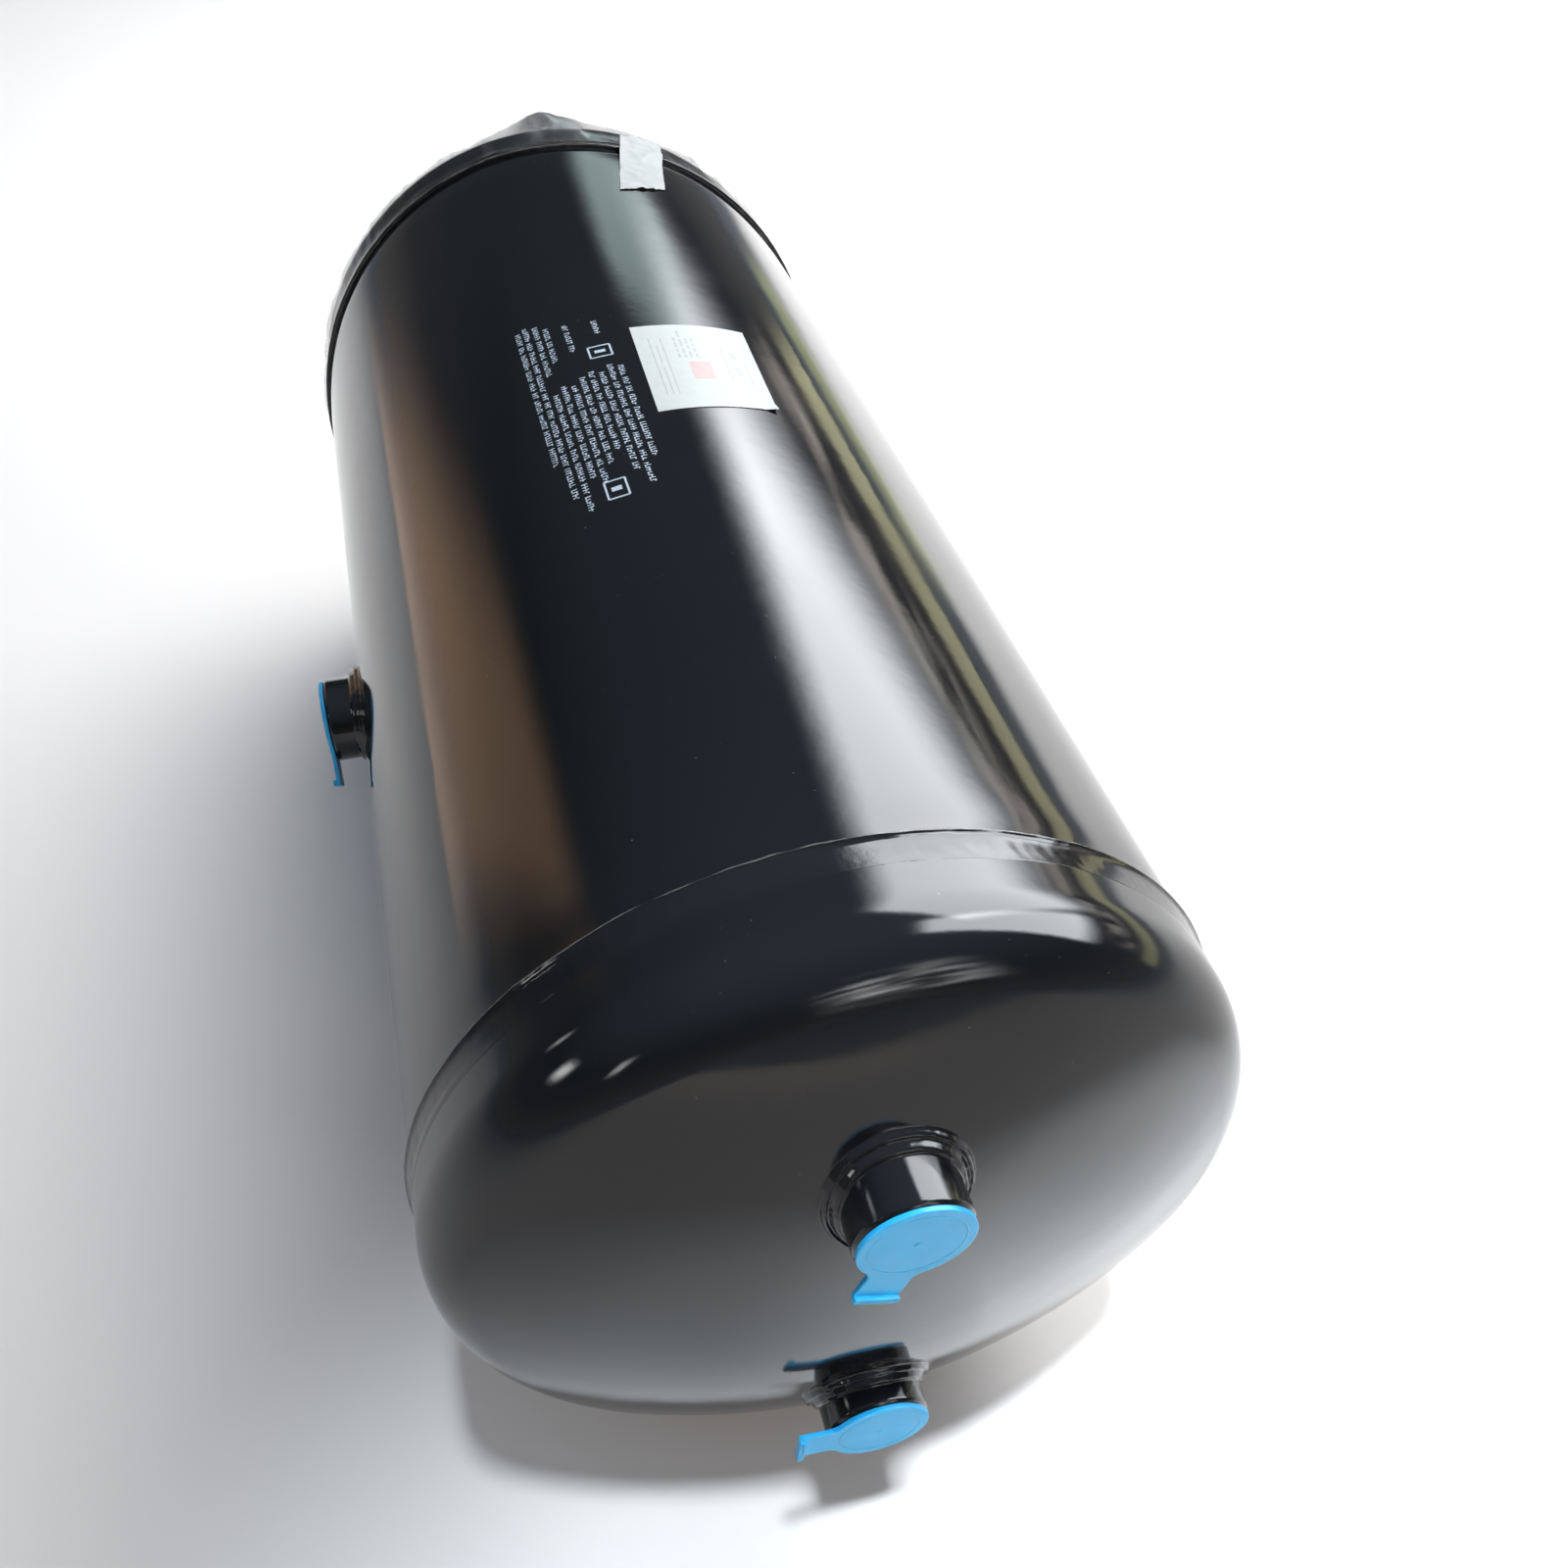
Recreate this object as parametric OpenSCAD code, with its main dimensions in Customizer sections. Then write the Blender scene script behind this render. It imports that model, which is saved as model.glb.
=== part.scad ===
// Horizontal compressed-air pressure tank: a rolled shell, two dished heads, welded ports and push-in caps.
// The axis lies along Y, the front head faces -Y, +Z is up and the origin is the axis at mid-length.

/* [Vessel] */
// Outside diameter of the shell and of both heads
vessel_d = 246; // [200:1:320]
// Distance between the two girth welds
weld_span = 448; // [320:1:900]
// Plate thickness of the shell and the heads
wall = 2.5; // [1.5:0.1:4]
// Crown radius of a dished head
crown_r = 246; // [200:1:400]
// Knuckle radius of a dished head
knuckle_r = 24.6; // [15:0.1:40]
// Straight flange of a head, from its girth weld to its knuckle
flange_l = 20; // [16:1:40]

/* [Head joint] */
// Length of the joggled lip that slips into the shell
lip_l = 12; // [6:1:20]
// Length of the slope from the joggled lip to the flange
joggle_l = 6; // [3:0.5:10]
// Radial clearance between the joggled lip and the shell
lip_fit = 0.2; // [0.1:0.05:0.5]
// Gap between the shell and the flange, filled by the girth weld
root_gap = 4; // [2:0.5:6]
// Width of a girth weld's bead
bead_w = 11; // [8:0.5:16]
// Height that a girth weld's bead stands proud
bead_h = 1.7; // [0.8:0.1:3]
// Height that the bead's tie-in, dressed flat at the bottom, stands over the bead
tie_rise = 0.2; // [0.1:0.05:0.5]
// Length of the flat tie-in round the vessel
tie_l = 24; // [16:1:36]
// Width of the shell's lengthwise seam bead
seam_w = 7; // [4:0.5:10]
// Height that the seam bead stands proud
seam_h = 1; // [0.5:0.1:2]
// Place of the seam, in degrees from the top towards +X
seam_angle = 150; // [120:1:165]

/* [Ports] */
// Distance of each head port from the vessel's axis
port_offset = 58; // [45:1:70]
// Distance of the side port from mid-length, towards the rear
side_port_y = 0; // [-100:1:100]
// Outside diameter of a port boss
boss_d = 32; // [28:0.5:38]
// Length of a port boss
boss_l = 22; // [20:0.5:28]
// Height that a boss stands out of the plate, on its own axis
boss_stand = 13; // [10:0.5:16]
// Bore through a boss, the core of its thread
bore_d = 20.4; // [16:0.1:23]
// Diameter of the countersink at a bore's mouth
mouth_d = 23; // [21:0.1:26]
// Bevel on a boss's outer edge
boss_bevel = 1; // [0.3:0.1:2]
// Radial clearance between a boss and its hole in the plate
boss_fit = 0.2; // [0.1:0.05:0.4]
// Leg of a port's fillet weld along the plate
fillet_foot = 6.5; // [4:0.5:9]
// Leg of a port's fillet weld up the boss
fillet_rise = 5.5; // [3:0.5:8]
// Bulge of a port's fillet weld
fillet_bulge = 0.9; // [0.4:0.1:1.5]

/* [Caps] */
// Diameter of a cap's disc
cap_d = 31; // [28:0.5:36]
// Thickness of a cap's disc and tab
cap_t = 1.6; // [1:0.1:2.5]
// Length of the plug under a cap's disc
plug_l = 10; // [6:0.5:14]
// Wall of the hollow plug
plug_wall = 1.4; // [0.8:0.1:2]
// Radial clearance between the plug and its bore
plug_fit = 0.2; // [0.1:0.05:0.4]
// Width of the pull tab
tab_w = 13; // [8:0.5:16]
// Reach of the pull tab from the cap's centre
tab_reach = 26; // [23:0.5:32]
// Radius of the tab's blend into the disc
tab_blend = 4; // [2:0.5:6]
// Width of the grip rib on the tab's end
rib_w = 2.2; // [1.2:0.1:3]
// Height of the grip rib over the tab
rib_h = 1.3; // [0.6:0.1:2]
// Diameter of the moulding mark at the disc's centre
gate_d = 1.8; // [1:0.1:3]
// Height of the moulding mark
gate_h = 0.3; // [0.1:0.1:0.6]

/* [Wrapping] */
// Width of the paper label round the shell
label_w = 44; // [30:1:60]
// Length of the paper label along the shell
label_l = 62; // [40:1:90]
// Thickness of the label
label_t = 0.3; // [0.2:0.05:0.6]
// Place of the label's middle, in degrees from the top towards +X
label_angle = 9.7; // [0:0.1:30]
// Place of the label's middle along the shell, from mid-length
label_y = 16; // [-80:1:80]
// Clearance under the label and the tape
sheet_fit = 0.1; // [0.05:0.05:0.3]
// Thickness of the film over the rear end
film_t = 0.7; // [0.4:0.1:1.2]
// Clearance between the film and what it covers
film_fit = 0.4; // [0.3:0.1:1]
// Distance from the rear girth weld to the film's edge
film_edge = 7; // [6:0.5:12]
// Distance from the rear girth weld to the film's slack fold
fold_back = 31; // [24:1:40]
// Height of the film's slack fold over the shell
fold_rise = 4; // [2:0.5:8]
// Radius of the fold's tip
fold_r = 2; // [1:0.5:4]
// Width of the tape that holds the film
tape_w = 21; // [12:1:30]
// Length of tape on the shell, in front of the rear girth weld
tape_front = 46; // [25:1:70]
// Length of tape on the film, behind the film's edge
tape_back = 11; // [6:1:13]
// Thickness of the tape
tape_t = 0.4; // [0.2:0.1:0.8]
// Place of the tape's middle, in degrees from the top towards +X
tape_angle = 18; // [0:1:40]

/* [Hidden] */
$fn = 96;
fine_fn = 480;
film_fn = 64;
vessel_r = vessel_d / 2;
inner_r = vessel_r - wall;
lip_r = inner_r - lip_fit;
boss_r = boss_d / 2;
plug_r = bore_d / 2 - plug_fit;
film_out = film_fit + film_t;
paint = "#16181b";
weld_paint = "#1d1f22";
cap_blue = "#4bb4eb";
paper = "#f3f4f0";
film_grey = "#7d8084";

// Pull-tab directions, in degrees round each port as seen from outside
upper_front_tab = 249;
lower_front_tab = 176;
upper_rear_tab = 270;
lower_rear_tab = 90;
side_tab = 225;

// Where the side weld's ring starts, clear of the shell's lines of symmetry
ring_start = 35;

// Height of a head's crown centre over its girth weld
crown_z = flange_l - sqrt(pow(crown_r - knuckle_r, 2) - pow(vessel_r - knuckle_r, 2));
// Angle from the axis at which the crown meets the knuckle
blend_angle = asin((vessel_r - knuckle_r) / (crown_r - knuckle_r));
// Height of a head's outside over its girth weld, at a distance from the axis on the crown
function crown_height(rho) = crown_z + sqrt(pow(crown_r, 2) - pow(rho, 2));
// Radius of the circle that rises by a sagitta over a chord
function arc_r(chord, sagitta) = (pow(chord / 2, 2) + pow(sagitta, 2)) / (2 * sagitta);

port_face = crown_height(port_offset) + boss_stand;
port_slope = asin(port_offset / crown_r);
side_face = vessel_r + boss_stand;

// Frames: z points out of the vessel, y is up at the ends, and x is up at the side port
module at_front() {
    translate([0, -weld_span / 2, 0])
        rotate([90, 0, 0])
            children();
}

module at_rear() {
    mirror([0, 1, 0])
        at_front()
            children();
}

module at_side() {
    translate([0, side_port_y, 0])
        rotate([0, -90, 0])
            children();
}

// Half section of a whole head, moved inwards by the inset
module dish_section(inset) {
    dish_r = vessel_r - inset;
    bend_r = knuckle_r - inset;
    ball_r = crown_r - inset;
    blend_x = ball_r * sin(blend_angle);
    square([dish_r, flange_l]);
    intersection() {
        translate([vessel_r - knuckle_r, flange_l])
            circle(bend_r);
        translate([0, flange_l])
            square([dish_r, bend_r]);
    }
    intersection() {
        translate([0, crown_z])
            circle(ball_r, $fn = fine_fn);
        translate([0, flange_l])
            square([blend_x, ball_r]);
    }
}

// Joggled lip that centres a head in the shell, with the slope up to its flange
module lip_section() {
    slope_start = root_gap / 2;
    polygon([
        [lip_r - wall, -lip_l],
        [lip_r, -lip_l],
        [lip_r, slope_start],
        [inner_r, slope_start],
        [inner_r, slope_start + joggle_l],
        [lip_r - wall, slope_start]
    ]);
}

module head() {
    rotate_extrude() {
        difference() {
            dish_section(0);
            dish_section(wall);
            square([vessel_r + wall, root_gap / 2]);
        }
        lip_section();
    }
}

// Filled outside form of a head, used to seat what is welded to it
module head_form() {
    rotate_extrude()
        dish_section(0);
}

module port_holes() {
    for (side = [-1, 1])
        translate([0, side * port_offset, 0])
            cylinder(h = port_face, r = boss_r + boss_fit);
}

module ported_head() {
    difference() {
        head();
        port_holes();
    }
}

module shell() {
    shell_l = weld_span - root_gap;
    color(paint)
        difference() {
            rotate([90, 0, 0])
                difference() {
                    cylinder(h = shell_l, r = vessel_r, center = true);
                    cylinder(h = shell_l + 2 * wall, r = inner_r, center = true);
                }
            at_side()
                cylinder(h = side_face, r = boss_r + boss_fit);
        }
}

module shell_seam_weld() {
    seam_l = weld_span - bead_w;
    seam_r = arc_r(seam_w, seam_h);
    color(weld_paint)
        rotate([0, seam_angle, 0])
            rotate([90, 0, 0])
                linear_extrude(height = seam_l, center = true)
                    difference() {
                        translate([0, vessel_r + seam_h - seam_r])
                            intersection() {
                                circle(seam_r, $fn = fine_fn);
                                translate([-seam_w, 0])
                                    square([2 * seam_w, seam_r]);
                            }
                        circle(vessel_r, $fn = fine_fn);
                    }
}

module front_head() {
    color(paint)
        at_front()
            ported_head();
}

module rear_head() {
    color(paint)
        at_rear()
            ported_head();
}

// Section of a bead that stands proud of the vessel
module bead_section(width, height) {
    bead_r = arc_r(width, height);
    intersection() {
        translate([vessel_r + height - bead_r, 0])
            circle(bead_r);
        translate([vessel_r, -width])
            square([2 * height, 2 * width]);
    }
}

// Weld that fills the gap down to the lip and stands proud as a rounded bead, with a flat tie-in to rest on
module girth_weld() {
    flat_r = vessel_r + bead_h + tie_rise;
    corner_r = sqrt(pow(flat_r, 2) + pow(tie_l / 2, 2));
    rotate_extrude() {
        translate([lip_r, -root_gap / 2])
            square([vessel_r - lip_r, root_gap]);
        bead_section(bead_w, bead_h);
    }
    intersection() {
        rotate_extrude()
            bead_section(bead_w + bead_h, corner_r + tie_rise - vessel_r);
        translate([-tie_l / 2, -flat_r, -bead_w])
            cube([tie_l, flat_r, 2 * bead_w]);
    }
}

module front_girth_weld() {
    color(weld_paint)
        at_front()
            girth_weld();
}

module rear_girth_weld() {
    color(weld_paint)
        at_rear()
            girth_weld();
}

// Boss with its mouth at z = 0 and its body below
module boss() {
    sink = (mouth_d - bore_d) / 2;
    color(paint)
        rotate_extrude()
            polygon([
                [bore_d / 2, -boss_l],
                [boss_r, -boss_l],
                [boss_r, -boss_bevel],
                [boss_r - boss_bevel, 0],
                [mouth_d / 2, 0],
                [bore_d / 2, -sink]
            ]);
}

// Ring of fillet weld from a hole's radius outwards, with its skirt below the plate to be cut to the plate's form
module fillet_ring(hole_r) {
    chord = sqrt(pow(fillet_foot, 2) + pow(fillet_rise, 2));
    bulge_r = arc_r(chord, fillet_bulge);
    back = bulge_r - fillet_bulge;
    skirt = fillet_foot / 2;
    toe_r = boss_r + fillet_foot;
    rotate_extrude() {
        intersection() {
            translate([
                boss_r + fillet_foot / 2 - back * fillet_rise / chord,
                fillet_rise / 2 - back * fillet_foot / chord
            ])
                circle(bulge_r);
            translate([hole_r, 0])
                square([toe_r - hole_r, fillet_rise]);
        }
        translate([hole_r, -skirt])
            square([toe_r - hole_r, skirt]);
    }
}

module head_boss(side) {
    translate([0, side * port_offset, port_face])
        boss();
}

// The ring leans with the dome's slope, so that its foot is even all round
module head_boss_weld(side) {
    lean = port_slope * side;
    color(weld_paint)
        difference() {
            translate([0, side * port_offset, crown_height(port_offset)])
                rotate([-lean, 0, 0])
                    fillet_ring(bore_d / 2);
            translate([0, side * port_offset, 0])
                cylinder(h = port_face, r = boss_r);
            head_form();
        }
}

module side_boss() {
    at_side()
        translate([0, 0, side_face])
            boss();
}

// The ring is lowered to where the round shell passes under the middle of its foot
module side_boss_weld() {
    saddle_z = sqrt(pow(vessel_r, 2) - pow(boss_r + fillet_foot / 2, 2));
    color(weld_paint)
        at_side()
            difference() {
                translate([0, 0, saddle_z])
                    rotate([0, 0, ring_start])
                        fillet_ring(boss_r);
                rotate([90, 0, 0])
                    cylinder(h = weld_span, r = vessel_r, center = true, $fn = fine_fn);
            }
}

// Outline of a cap's disc with its pull tab along +X
module cap_outline() {
    disc_r = cap_d / 2;
    side_y = tab_w / 2;
    blend_y = side_y + tab_blend;
    blend_x = sqrt(pow(disc_r + tab_blend, 2) - pow(blend_y, 2));
    circle(disc_r);
    translate([0, -side_y])
        square([tab_reach, tab_w]);
    for (flip = [0, 1])
        mirror([0, flip])
            difference() {
                polygon([[0, 0], [blend_x, 0], [blend_x, blend_y]]);
                translate([blend_x, blend_y])
                    circle(tab_blend);
            }
}

// Cap with its disc seated at z = 0 and its hollow plug below
module cap(turn) {
    color(cap_blue)
        rotate([0, 0, turn]) {
            linear_extrude(height = cap_t)
                cap_outline();
            translate([tab_reach - rib_w, -tab_w / 2, cap_t])
                cube([rib_w, tab_w, rib_h]);
            translate([0, 0, cap_t])
                cylinder(h = gate_h, d = gate_d);
            translate([0, 0, -plug_l])
                difference() {
                    cylinder(h = plug_l, r = plug_r);
                    cylinder(h = plug_l, r = plug_r - plug_wall);
                }
        }
}

module head_cap(side, turn) {
    translate([0, side * port_offset, port_face])
        cap(turn);
}

module side_cap() {
    at_side()
        translate([0, 0, side_face])
            cap(side_tab);
}

// Turns a section drawn over +X into a strip on the shell, centred on an angle from the top towards +X
module shell_strip(angle, width) {
    sweep = width / vessel_r * 180 / PI;
    rotate([90, 0, 0])
        rotate([0, 0, 90 - angle - sweep / 2])
            rotate_extrude(angle = sweep)
                children();
}

module label() {
    color(paper)
        shell_strip(label_angle, label_w)
            translate([vessel_r + sheet_fit, -label_y - label_l / 2])
                square([label_t, label_l]);
}

// Half section of the film's round body, outside the rear head by the given amount
function film_section(out) = [
    [0, film_edge],
    [vessel_r + out, film_edge],
    for (bend = [0:15:90 - blend_angle])
        [
            vessel_r - knuckle_r + (knuckle_r + out) * cos(bend),
            flange_l + (knuckle_r + out) * sin(bend)
        ],
    for (tilt = [blend_angle:-6:2])
        [(crown_r + out) * sin(tilt), crown_z + (crown_r + out) * cos(tilt)],
    [0, crown_z + crown_r + out]
];

// Taut form of the film over the head, its capped ports and one slack fold at the top
module film_form(out) {
    port_top = port_face + cap_t + rib_h + out;
    hull() {
        rotate_extrude($fn = film_fn)
            polygon(film_section(out));
        for (side = [-1, 1])
            translate([0, side * port_offset, port_face])
                cylinder(h = port_top - port_face, r = cap_d / 2 + out, $fn = film_fn / 2);
        translate([0, vessel_r + fold_rise - fold_r, fold_back])
            sphere(r = fold_r + out, $fn = film_fn / 4);
    }
}

module end_film() {
    color(film_grey, 0.5)
        at_rear()
            difference() {
                film_form(film_out);
                film_form(film_fit);
            }
}

// Tape that follows the shell, climbs over the rear girth weld and lies on the film's edge
module film_tape() {
    climb = bead_w / 2 + bead_h;
    crest = bead_w / 8;
    shell_top = vessel_r + sheet_fit;
    bead_top = shell_top + bead_h;
    film_top = shell_top + film_out;
    tape_path = [
        [shell_top, -tape_front],
        [shell_top, -climb],
        [bead_top, -crest],
        [bead_top, crest],
        [film_top, film_edge],
        [film_top, film_edge + tape_back]
    ];
    last = len(tape_path) - 1;
    color(paper)
        mirror([0, 1, 0])
            shell_strip(tape_angle, tape_w)
                translate([0, weld_span / 2])
                    polygon([
                        for (i = [0:last]) tape_path[i],
                        for (i = [last:-1:0]) tape_path[i] + [tape_t, 0]
                    ]);
}

shell();
shell_seam_weld();
front_head();
rear_head();
front_girth_weld();
rear_girth_weld();
at_front() head_boss(1);  // upper_front_boss
at_front() head_boss(-1);  // lower_front_boss
at_rear() head_boss(1);  // upper_rear_boss
at_rear() head_boss(-1);  // lower_rear_boss
side_boss();
at_front() head_boss_weld(1);  // upper_front_boss_weld
at_front() head_boss_weld(-1);  // lower_front_boss_weld
at_rear() head_boss_weld(1);  // upper_rear_boss_weld
at_rear() head_boss_weld(-1);  // lower_rear_boss_weld
side_boss_weld();
at_front() head_cap(1, upper_front_tab);  // upper_front_cap
at_front() head_cap(-1, lower_front_tab);  // lower_front_cap
at_rear() head_cap(1, upper_rear_tab);  // upper_rear_cap
at_rear() head_cap(-1, lower_rear_tab);  // lower_rear_cap
side_cap();
label();
end_film();
film_tape();
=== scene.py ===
import math
import random

import bmesh
import bpy
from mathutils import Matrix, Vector, noise
from mathutils.bvhtree import BVHTree


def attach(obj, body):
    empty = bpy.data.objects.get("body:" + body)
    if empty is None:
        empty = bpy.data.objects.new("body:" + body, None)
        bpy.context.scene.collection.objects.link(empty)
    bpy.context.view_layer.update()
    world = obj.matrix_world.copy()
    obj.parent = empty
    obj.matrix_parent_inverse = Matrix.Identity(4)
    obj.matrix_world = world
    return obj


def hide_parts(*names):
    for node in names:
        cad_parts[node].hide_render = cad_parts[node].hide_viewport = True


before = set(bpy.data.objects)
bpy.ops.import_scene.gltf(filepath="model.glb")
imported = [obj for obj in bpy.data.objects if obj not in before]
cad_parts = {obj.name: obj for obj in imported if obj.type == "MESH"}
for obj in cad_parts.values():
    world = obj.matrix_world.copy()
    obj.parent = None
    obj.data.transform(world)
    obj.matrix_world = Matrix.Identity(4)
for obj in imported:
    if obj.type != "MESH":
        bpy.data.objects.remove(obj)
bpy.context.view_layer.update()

MM = 0.001

# Sizes of the CAD model, in millimetres
RADIUS = 123.0
HALF = 224.0  # from the tank's middle to each girth joint
WALL = 2.5
CROWN = 246.0  # radius of a head's crown
KNUCKLE = 24.6  # radius of a head's knuckle
FLANGE = 20.0  # straight length of a head
ROOT = 2.0  # half of the open joint under a girth weld
CROWN_Z = FLANGE - math.sqrt((CROWN - KNUCKLE) ** 2 - (RADIUS - KNUCKLE) ** 2)  # the crown's centre
BLEND = math.asin((RADIUS - KNUCKLE) / (CROWN - KNUCKLE))  # tilt at which the crown meets the knuckle
PORT = 58.0  # height of the end ports over the axis
BOSS_R = 16.0
BOSS_L = 22.0
BOSS_PROUD = 13.0
BORE_R = 10.2
CAP_R = 15.5
PORT_FACE = CROWN_Z + math.sqrt(CROWN**2 - PORT**2) + BOSS_PROUD
SIDE_FACE = RADIUS + BOSS_PROUD
FLOOR_Z = -124.9

# Angles of the caps' pull tabs, in degrees
TAB_TURNS = {"upper_front": 249, "lower_front": 176, "upper_rear": 270, "lower_rear": 90, "side": 225}


# Local frames: z points out of the vessel, y is up at the ends, x is up at the side port
def front(x, y, z):
    return (x, -HALF - z, y)


def rear(x, y, z):
    return (x, HALF + z, y)


def side(x, y, z):
    return (-z, y, x)


def on_shell(arc, y, lift):
    """A point over the shell, at a distance round it from the top."""
    turn = arc / RADIUS
    return ((RADIUS + lift) * math.sin(turn), y, (RADIUS + lift) * math.cos(turn))


def wave(x, y, z):
    """Smooth noise, from about -1 to 1."""
    return noise.noise(Vector((x, y, z)))


def crease(x, y, z):
    """Noise with sharp ridges, from 0 to 1."""
    return max(0.0, 1 - 2.2 * abs(wave(x, y, z))) ** 2


def bell(x, middle, width):
    """A smooth bump of height 1."""
    return math.exp(-(((x - middle) / width) ** 2))


def smooth(a, b, x):
    """A soft step from 0 at a to 1 at b."""
    t = min(max((x - a) / (b - a), 0.0), 1.0)
    return t * t * (3 - 2 * t)


# Meshes
def grid_faces(rows, columns, wrap=False, close=False):
    """Faces between rows of points; wrap joins each row's ends, close joins the last row to the first."""
    faces = []
    for i in range(rows if close else rows - 1):
        for j in range(columns if wrap else columns - 1):
            a = i * columns
            b = (i + 1) % rows * columns
            k = (j + 1) % columns
            faces.append((a + j, a + k, b + k, b + j))
    return faces


def plain(x, y, z):
    return (x, y, z)


def lathe(profile, place, steps, close=False):
    """Turns a section of (radius, height) points about the z axis and puts each point in its place."""
    points = []
    for r, h in profile:
        for j in range(steps):
            turn = 2 * math.pi * j / steps
            points.append(place(r * math.cos(turn), r * math.sin(turn), h))
    return points, grid_faces(len(profile), steps, True, close)


def joined(*parts):
    """One list of points and one of faces from several meshes."""
    points = []
    faces = []
    for some_points, some_faces in parts:
        start = len(points)
        points.extend(some_points)
        faces.extend(tuple(start + i for i in face) for face in some_faces)
    return points, faces


def add_piece(name, points, faces, material, replaces=(), sharp=40, outward=True):
    """A smooth mesh, given in millimetres, that rides on the tank."""
    mesh = bpy.data.meshes.new(name)
    mesh.from_pydata([(x * MM, y * MM, z * MM) for x, y, z in points], [], faces)
    work = bmesh.new()
    work.from_mesh(mesh)
    bmesh.ops.remove_doubles(work, verts=work.verts, dist=1e-7)
    bmesh.ops.dissolve_degenerate(work, edges=work.edges, dist=1e-8)
    if outward:
        bmesh.ops.recalc_face_normals(work, faces=work.faces)
    work.to_mesh(mesh)
    work.free()
    mesh.shade_smooth()
    mesh.set_sharp_from_angle(angle=math.radians(sharp))
    mesh.materials.append(material)
    piece = bpy.data.objects.new(name, mesh)
    bpy.context.collection.objects.link(piece)
    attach(piece, "root")
    if replaces:
        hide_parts(*replaces)
    return piece


def add_values(piece, name, values):
    """One number at each point, for the material to read."""
    held = piece.data.attributes.new(name, "FLOAT", "POINT")
    for point, value in zip(held.data, values):
        point.value = value


# Materials
def fill_ramp(node, stops):
    band = node.color_ramp
    while len(band.elements) < len(stops):
        band.elements.new(0.5)
    for element, (place, color) in zip(band.elements, stops):
        element.position = place
        element.color = (*color, 1)


class Look:
    """A principled material with procedural detail."""

    def __init__(self, name, color, roughness):
        self.material = bpy.data.materials.new(name)
        self.material.use_nodes = True
        self.nodes = self.material.node_tree.nodes
        self.links = self.material.node_tree.links
        self.shader = self.nodes["Principled BSDF"]
        self.set("Base Color", (*color, 1))
        self.set("Roughness", roughness)
        self.normal = None

    def set(self, socket, value):
        self.shader.inputs[socket].default_value = value

    def join(self, output, target):
        self.links.new(output, target)

    def grain(self, scale, detail=3.0, stretch=(1, 1, 1)):
        """Noise that is fixed to the object."""
        coords = self.nodes.new("ShaderNodeTexCoord")
        mapping = self.nodes.new("ShaderNodeMapping")
        mapping.inputs["Scale"].default_value = stretch
        texture = self.nodes.new("ShaderNodeTexNoise")
        texture.inputs["Scale"].default_value = scale
        texture.inputs["Detail"].default_value = detail
        self.join(coords.outputs["Object"], mapping.inputs["Vector"])
        self.join(mapping.outputs["Vector"], texture.inputs["Vector"])
        return texture.outputs["Fac"]

    def values(self, name):
        """The numbers that add_values has stored under that name."""
        node = self.nodes.new("ShaderNodeAttribute")
        node.attribute_name = name
        return node.outputs["Fac"]

    def combine(self, operation, first, second):
        node = self.nodes.new("ShaderNodeMath")
        node.operation = operation
        self.join(first, node.inputs[0])
        self.join(second, node.inputs[1])
        return node.outputs["Value"]

    def ranged(self, fac, low, high, to_low, to_high):
        node = self.nodes.new("ShaderNodeMapRange")
        node.inputs["From Min"].default_value = low
        node.inputs["From Max"].default_value = high
        node.inputs["To Min"].default_value = to_low
        node.inputs["To Max"].default_value = to_high
        self.join(fac, node.inputs["Value"])
        return node.outputs["Result"]

    def ramp(self, fac, stops):
        node = self.nodes.new("ShaderNodeValToRGB")
        fill_ramp(node, stops)
        self.join(fac, node.inputs["Fac"])
        return node.outputs["Color"]

    def color(self, output):
        self.join(output, self.shader.inputs["Base Color"])

    def rough(self, output):
        self.join(output, self.shader.inputs["Roughness"])

    def bump(self, fac, strength, distance):
        node = self.nodes.new("ShaderNodeBump")
        node.inputs["Strength"].default_value = strength
        node.inputs["Distance"].default_value = distance
        self.join(fac, node.inputs["Height"])
        if self.normal is not None:
            self.join(self.normal, node.inputs["Normal"])
        self.normal = node.outputs["Normal"]
        self.join(self.normal, self.shader.inputs["Normal"])


def black_paint():
    look = Look("black_paint", (0.006, 0.0065, 0.0075), 0.07)
    specks = look.grain(900, 2)
    black = (0.0055, 0.006, 0.007)
    look.color(look.ramp(specks, [(0.0, black), (0.775, black), (0.80, (0.20, 0.20, 0.19))]))
    look.rough(look.ranged(look.grain(22, 5), 0.35, 0.7, 0.045, 0.11))
    look.bump(look.grain(320, 2), 0.03, 0.0004)
    look.bump(look.grain(38, 2), 0.05, 0.0016)
    return look.material


def weld_paint():
    look = Look("painted_weld", (0.007, 0.0075, 0.0085), 0.12)
    # Painted highlight: a lighter tan along each girth bead's crest, in patches, stands in for the glint
    # of its sharp ridge
    painted_glint = look.values("painted_glint")
    patches = look.ranged(look.grain(260, 4), 0.25, 0.6, 0.4, 1.0)
    glint_mask = look.combine("MULTIPLY", painted_glint, patches)
    glint_colors = [(0.1, (0.007, 0.007, 0.008)), (0.45, (0.08, 0.075, 0.07)), (1.0, (0.34, 0.31, 0.28))]
    look.color(look.ramp(glint_mask, glint_colors))
    look.rough(look.ranged(look.grain(120, 4), 0.3, 0.7, 0.05, 0.13))
    look.bump(look.grain(420, 2), 0.06, 0.0005)
    return look.material


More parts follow.
